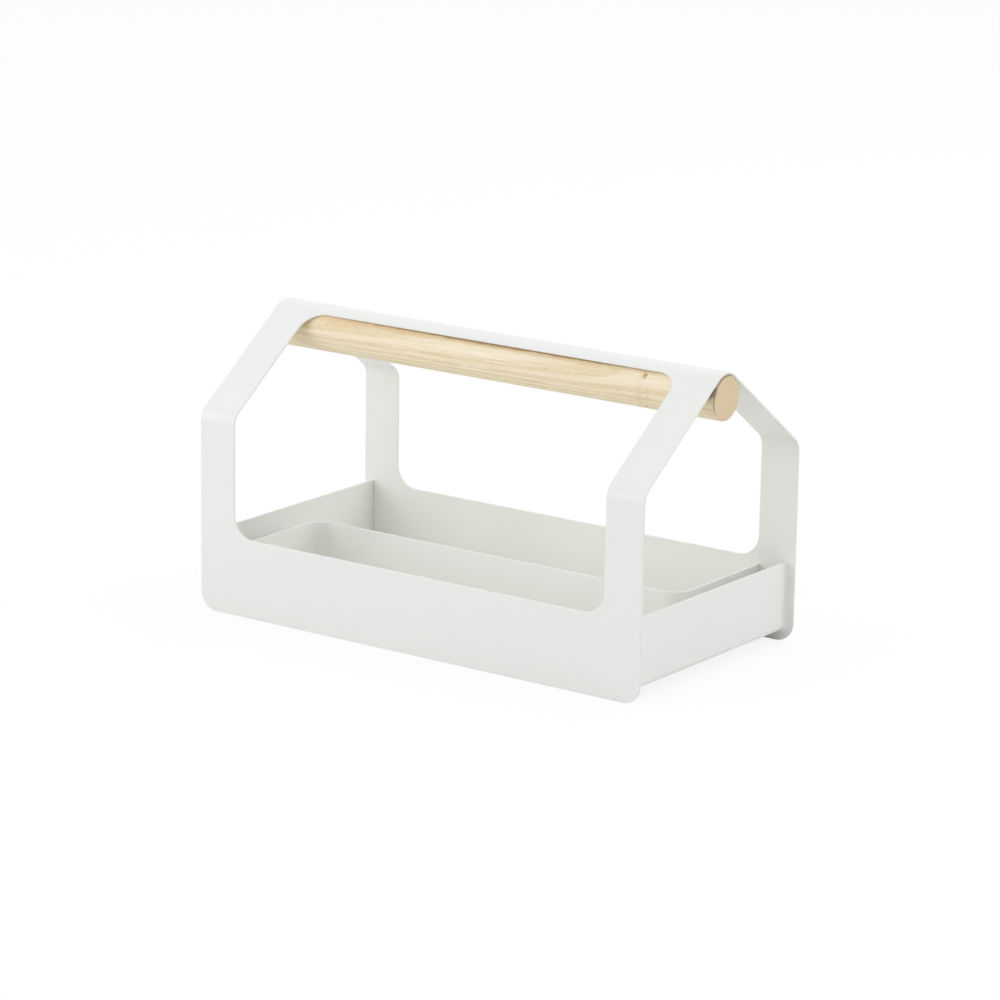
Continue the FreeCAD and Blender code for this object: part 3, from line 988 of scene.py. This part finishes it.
@dataclass
class Divider:
    """The loose sheet bent into a Z that stands on the tray's floor."""

    coat: Material
    sheet: float = SHEET
    bend: float = 13.0 * MM
    front_trough: float = 88.5 * MM  # from the front panel to the long run
    coat_round: float = 0.55 * MM
    round_segments: int = 3

    def build(self) -> Piece:
        """Bend the strip, round its edges and coat it."""
        low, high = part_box("divider")
        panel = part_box("frame_band")[1].y - self.sheet
        run = self.front_trough + self.sheet - panel
        outside = self.bend + self.sheet
        strip = Strip(
            name="bent_divider",
            start=Vector((low.x, low.y, (low.z + high.z) / 2)),
            direction=AXIS_Y,
            axis=AXIS_Z,
            width=high.z - low.z,
            first_flat=run - low.y - outside,
            folds=(
                Fold(outside, -QUARTER, high.x - self.sheet - low.x - outside - self.bend),
                Fold(self.bend, QUARTER, high.y - run - self.bend),
            ),
            thickness=-self.sheet,
        )
        piece = strip.build()
        soften_edges(piece, self.coat_round, self.round_segments)
        return finish(piece, self.coat, "divider", "divider")


@dataclass
class HandleScrews:
    """The two countersunk screws that hold the handle, square to the back slope."""

    zinc: Material
    pitch: float = ROOF_PITCH
    shank: float = 3.5 * MM
    length: float = 20.0 * MM
    tip: float = 4.0 * MM
    head: float = 7.0 * MM
    rim: float = 0.3 * MM
    sink: float = 0.3 * MM
    fit: float = 0.05 * MM
    spare: float = 1.0 * MM
    point_merge: float = 0.001 * MM
    slot_width: float = 1.0 * MM
    slot_length: float = 4.0 * MM
    slot_depth: float = 1.3 * MM
    slot_taper: float = 0.55
    edge_round: float = 0.08 * MM
    round_segments: int = 2
    sides: int = 48

    def turned(self, name: str, margin: float, top: float, bottom: float) -> Piece:
        """Turn a screw's body, upright, with the sheet's surface at the height 0.

        Args:
            name: its name.
            margin: how much larger it is than the screw, all round.
            top: height of its upper face.
            bottom: height of its point.

        Returns:
            The body.
        """
        head = self.head / 2 + margin
        shank = self.shank / 2 + margin
        cone_top = -(self.sink + self.rim)
        cone = (self.head - self.shank) / 2
        shoulder = bottom + self.tip
        piece = start_piece(
            name,
            bpy.ops.mesh.primitive_cylinder_add,
            vertices=self.sides,
            radius=head,
            depth=top - cone_top,
            location=(0.0, 0.0, (top + cone_top) / 2),
        )
        settle(piece)
        level = cone_top
        with editing(piece):
            for depth, scale in ((cone, shank / head), (cone_top - cone - shoulder, 1.0), (self.tip, 0.0)):
                floor = level
                pick(piece, Element.FACE, lambda face: abs(face.calc_center_median().z - floor) < TOUCH)
                bpy.ops.mesh.extrude_region_move(TRANSFORM_OT_translate={"value": (0.0, 0.0, -depth)})
                bpy.ops.transform.resize(
                    value=(scale, scale, 1.0), center_override=(0.0, 0.0, level - depth)
                )
                level -= depth
        merge_close(piece, self.point_merge)
        return piece

    def stand(self, piece: Piece, end: End) -> Piece:
        """Move an upright body to its place in the back slope, beside one end of the ridge."""
        rod_low, rod_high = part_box("handle_dowel")
        low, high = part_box(f"handle_screw_{end.name.lower()}")
        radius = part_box("frame_band")[1].z - (rod_low.z + rod_high.z) / 2
        piece.rotation_euler.x = -self.pitch
        piece.location = (
            (low.x + high.x) / 2,
            radius * math.sin(self.pitch),
            (rod_low.z + rod_high.z) / 2 + radius * math.cos(self.pitch),
        )
        settle(piece)
        return piece

    def hole(self, end: End) -> Piece:
        """Make the volume of one screw's hole, open above the sheet."""
        bottom = -(self.sink + self.length + self.spare)
        return self.stand(self.turned("screw_hole", self.fit, SHEET, bottom), end)

    def recess(self, turn: float) -> Piece:
        """Make one arm of the cross recess, narrower at its bottom."""
        bottom = -(self.sink + self.slot_depth)
        block = start_piece(
            "recess_arm",
            bpy.ops.mesh.primitive_cube_add,
            size=1.0,
            location=(0.0, 0.0, bottom / 2),
            rotation=(0.0, 0.0, turn),
        )
        settle(block, Vector((self.slot_length, self.slot_width, -bottom)))
        with editing(block):
            pick(block, Element.FACE, lambda face: abs(face.calc_center_median().z - bottom) < TOUCH)
            bpy.ops.transform.resize(value=(self.slot_taper, self.slot_taper, 1.0))
        return block

    def build(self) -> list[Piece]:
        """Make both screws, the left one first."""
        screws = []
        for end in End:
            label = end.name.lower()
            piece = self.turned(f"wood_screw_{label}", 0.0, -self.sink, -(self.sink + self.length))
            for turn in (0.0, QUARTER):
                cut(piece, self.recess(turn))
            soften_edges(piece, self.edge_round, self.round_segments)
            self.stand(piece, end)
            screws.append(finish(piece, self.zinc, "frame", f"handle_screw_{label}"))
        return screws


@dataclass
class Handle:
    """The round ash handle under the ridge, turned, sanded and bored for its screws."""

    wood: Material
    screws: HandleScrews
    rounding: float = 0.8 * MM
    rounding_segments: int = 5
    sides: int = 128

    def build(self) -> Piece:
        """Turn the rod, round its ends, bore it and finish it."""
        low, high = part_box("handle_dowel")
        piece = start_piece(
            "ash_handle",
            bpy.ops.mesh.primitive_cylinder_add,
            vertices=self.sides,
            radius=(high.z - low.z) / 2,
            depth=high.x - low.x,
            location=(low + high) / 2,
            rotation=(0.0, QUARTER, 0.0),
        )
        settle(piece)
        with editing(piece):
            pick(piece, Element.EDGE, lambda edge: abs(abs(middle(edge).x) - high.x) < TOUCH)
            bpy.ops.mesh.bevel(offset=self.rounding, segments=self.rounding_segments, affect="EDGES")
        for end in End:
            cut(piece, self.screws.hole(end))
        shade_smooth(piece)
        return finish(piece, self.wood, "frame", "handle_dowel")


# ---- the studio


@dataclass(frozen=True)
class Lamp:
    """A square soft lamp that faces the object's middle."""

    name: str
    place: Triple
    power: float
    size: float = 2.0

    def hang(self, target: Vector, colour: str) -> None:
        """Hang the lamp at its place, turned to a target, with a colour."""
        data = bpy.data.lights.new(self.name, "AREA")
        data.color = linear(colour)[:3]
        data.shape = "SQUARE"
        data.size = self.size
        data.energy = self.power
        lamp = bpy.data.objects.new(self.name, data)
        lamp.location = self.place
        lamp.rotation_euler = (target - lamp.location).to_track_quat("-Z", "Y").to_euler()
        bpy.context.scene.collection.objects.link(lamp)


@dataclass
class Studio:
    """A pale floor, a soft light from all round and more from overhead, soft lamps and the camera."""

    floor_size: float = 14.0
    floor_colour: str = "#EAEAEA"
    white: str = "#FFFFFF"
    floor_glow: float = 0.855  # the part of the floor's white that no shadow darkens
    room_light: float = 0.3
    overhead_light: float = 0.69
    light_colour: str = "#FBFBFF"
    lamps: tuple[Lamp, ...] = (
        Lamp("softbox_left", (-2.2, -1.8, 1.2), 15.2),
        Lamp("softbox_front", (-1.2, -2.6, 0.9), 15.2, 1.6),
        Lamp("softbox_right", (2.6, 1.1, 1.2), 21.0),
        Lamp("softbox_back", (0.0, 1.8, 2.2), 12.4),
    )
    yaw: float = math.radians(35.725)
    pitch: float = math.radians(14.552)
    roll: float = math.radians(0.896)
    distance: float = 2.9701
    target: Vector = field(default_factory=lambda: Vector((3.375, 0.0, 92.33)) * MM)
    focal_pixels: float = 4215.6
    image_pixels: float = 1000.0
    sensor: float = 36.0

    def place_camera(self) -> None:
        """Stand the camera in front, to the right and a little above, turned to the target."""
        across, along, flat = math.sin(self.yaw), math.cos(self.yaw), math.cos(self.pitch)
        forward = Vector((-across * flat, along * flat, -math.sin(self.pitch)))
        level = Vector((along, across, 0.0))
        upright = level.cross(forward)
        right = level * math.cos(self.roll) + upright * math.sin(self.roll)
        up = upright * math.cos(self.roll) - level * math.sin(self.roll)
        turn = Matrix((right, up, -forward)).transposed().to_4x4()
        data = bpy.data.cameras.new("studio_camera")
        data.sensor_width = self.sensor
        data.lens = self.focal_pixels / self.image_pixels * self.sensor
        data.clip_end = self.floor_size
        camera = bpy.data.objects.new("studio_camera", data)
        camera.matrix_world = Matrix.Translation(self.target - forward * self.distance) @ turn
        bpy.context.scene.collection.objects.link(camera)
        bpy.context.scene.camera = camera

    def seen_straight(self, tree: Tree) -> Feed:
        """Give 1 for rays from the camera, a mirror or glass, and 0 for light that spreads."""
        path = add_node(tree, "LightPath")
        seen = path.outputs["Is Camera Ray"]
        for name in ("Is Glossy Ray", "Is Transmission Ray"):
            seen = add_node(tree, "Math", {0: seen, 1: path.outputs[name]}, operation="MAXIMUM")
        return seen

    def light_world(self) -> None:
        """Light the room softly from all round, more from overhead, and white where it is seen."""
        world = bpy.data.worlds.new("studio_world")
        bpy.context.scene.world = world
        world.use_nodes = True
        tree = world.node_tree
        tree.nodes.clear()
        way = add_node(tree, "TexCoord")
        axes = add_node(tree, "SeparateXYZ", {"Vector": way.outputs["Generated"]})
        top = self.room_light + self.overhead_light
        sky = add_node(
            tree, "MapRange", {"Value": axes.outputs["Z"], "To Min": self.room_light, "To Max": top}
        )
        seen = self.seen_straight(tree)
        strength = add_node(tree, "Mix", {"Factor": seen, "A": sky, "B": 1.0}, data_type="FLOAT")
        colour = add_node(
            tree, "Mix", {"Factor": seen, "A": self.light_colour, "B": self.white}, data_type="RGBA"
        )
        background = add_node(tree, "Background", {"Color": colour, "Strength": strength})
        add_node(tree, "OutputWorld", {"Surface": background})

    def lay_floor(self) -> None:
        """Lay the floor: grey for the light that it spreads, and white under a soft shadow to the eye."""
        floor = start_piece("studio_floor", bpy.ops.mesh.primitive_plane_add, size=self.floor_size)
        material, tree = new_material("studio_floor")
        seen = self.seen_straight(tree)
        colour = add_node(
            tree, "Mix", {"Factor": seen, "A": self.floor_colour, "B": self.white}, data_type="RGBA"
        )
        paint = add_node(tree, "BsdfDiffuse", {"Color": colour})
        glow = add_node(tree, "Emission", {"Color": self.white})
        share = add_node(tree, "Math", {0: seen, 1: self.floor_glow}, operation="MULTIPLY")
        mix = add_node(tree, "MixShader", {0: share, 1: paint, 2: glow})
        add_node(tree, "OutputMaterial", {"Surface": mix})
        dress(floor, material)

    def build(self) -> None:
        """Set up the studio."""
        self.place_camera()
        self.light_world()
        self.lay_floor()
        for lamp in self.lamps:
            lamp.hang(self.target, self.light_colour)
        bpy.context.scene.view_settings.view_transform = "Standard"


def main() -> None:
    """Build the studio and the pieces, in order, and report each."""
    logging.basicConfig(level=logging.INFO, format="%(name)s: %(message)s")
    Studio().build()
    coat = PowderCoat().build()
    screws = HandleScrews(ZincPlate().build())
    pieces = [
        FoldedFrame(coat, screws).build(),
        Tray(coat).build(),
        Divider(coat).build(),
        Handle(OiledAsh().build(), screws).build(),
        *screws.build(),
    ]
    for piece in pieces:
        LOG.info("%s: %d faces", piece.name, len(piece.data.polygons))


if __name__ == "__main__":
    main()
